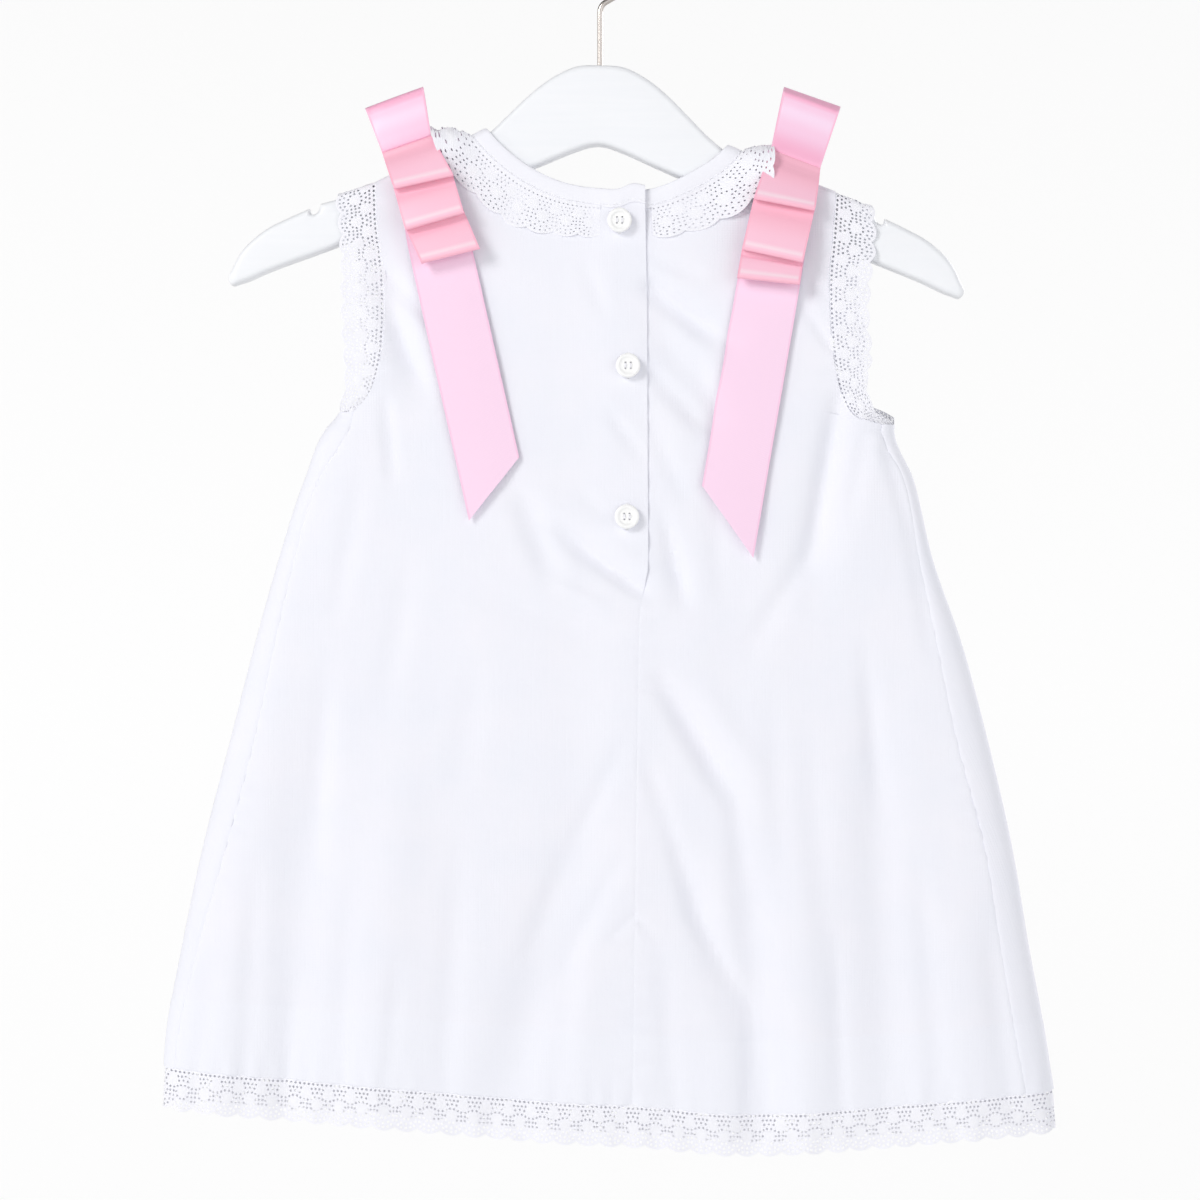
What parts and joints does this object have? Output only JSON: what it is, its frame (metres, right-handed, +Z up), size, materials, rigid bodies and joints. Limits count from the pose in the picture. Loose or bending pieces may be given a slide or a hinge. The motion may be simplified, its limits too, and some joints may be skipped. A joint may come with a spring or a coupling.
{
  "type": "toddler dress on a hanger",
  "caption": "Sleeveless A-line toddler dress with buttoned back, lace edging and a satin bow on each shoulder, on a wooden hanger that hangs from a rail.",
  "frame": {"origin": "inside top of the hanger's hook, where it bears on a rail", "axes": "+Z up; the dress's buttoned back faces -Y and its front +Y; +X is to the right as the back is seen"},
  "size_m": [0.3762, 0.0343, 0.5217],
  "materials": {
    "white_cotton": "fine plain-weave cotton, matte",
    "white_bias_binding": "folded cotton bias strip, matte",
    "white_cotton_lace": "cotton edging lace, matte",
    "pink_satin_ribbon": "double-face satin ribbon, soft sheen",
    "white_button": "polished resin",
    "white_painted_wood": "white satin paint on wood",
    "bright_steel_wire": "bright drawn wire"
  },
  "bodies": {
    "root": {"front": "white_cotton", "back_left": "white_cotton", "back_right": "white_cotton", "neck_binding": "white_bias_binding", "neck_lace": "white_cotton_lace", "armhole_lace_left": "white_cotton_lace", "armhole_lace_right": "white_cotton_lace", "hem_lace_back": "white_cotton_lace", "hem_lace_front": "white_cotton_lace", "bow_left_tails": "pink_satin_ribbon", "bow_left_standing_loop": "pink_satin_ribbon", "bow_left_loop_1": "pink_satin_ribbon", "bow_left_loop_2": "pink_satin_ribbon", "bow_left_loop_3": "pink_satin_ribbon", "bow_right_tails": "pink_satin_ribbon", "bow_right_standing_loop": "pink_satin_ribbon", "bow_right_loop_1": "pink_satin_ribbon", "bow_right_loop_2": "pink_satin_ribbon", "bow_right_loop_3": "pink_satin_ribbon", "button_top": "white_button", "button_middle": "white_button", "button_bottom": "white_button", "hanger_body": "white_painted_wood", "hanger_hook": "bright_steel_wire"}
  },
  "joints": []
}
